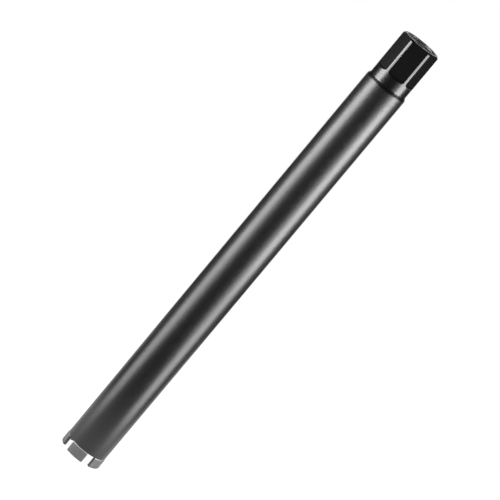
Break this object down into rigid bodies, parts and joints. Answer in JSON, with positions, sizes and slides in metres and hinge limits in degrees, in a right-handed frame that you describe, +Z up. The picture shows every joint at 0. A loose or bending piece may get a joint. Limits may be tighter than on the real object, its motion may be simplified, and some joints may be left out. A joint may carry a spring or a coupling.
{
  "type": "diamond core bit",
  "caption": "Long black steel core tube with a threaded hexagonal spindle hub at the top and a crown of diamond segments at the bottom, for wet core drilling.",
  "frame": {"origin": "on the tube's axis, in the plane of the diamond segments' cutting faces, on which the bit stands", "axes": "+Z runs up the tube's axis from the cutting crown to the threaded hub's end face; -Y faces out of the front wrench flat"},
  "size_m": [0.0443, 0.0444, 0.5088],
  "materials": {
    "tube_coating": "satin black powder coat on steel",
    "hub_coating": "semi-gloss black coating on turned and milled steel",
    "diamond_segment": "sintered grey metal bond with diamond grit"
  },
  "bodies": {
    "root": {"core_tube": "tube_coating", "threaded_hub": "hub_coating", "segment_1": "diamond_segment", "segment_2": "diamond_segment", "segment_3": "diamond_segment", "segment_4": "diamond_segment", "segment_5": "diamond_segment"}
  },
  "joints": []
}
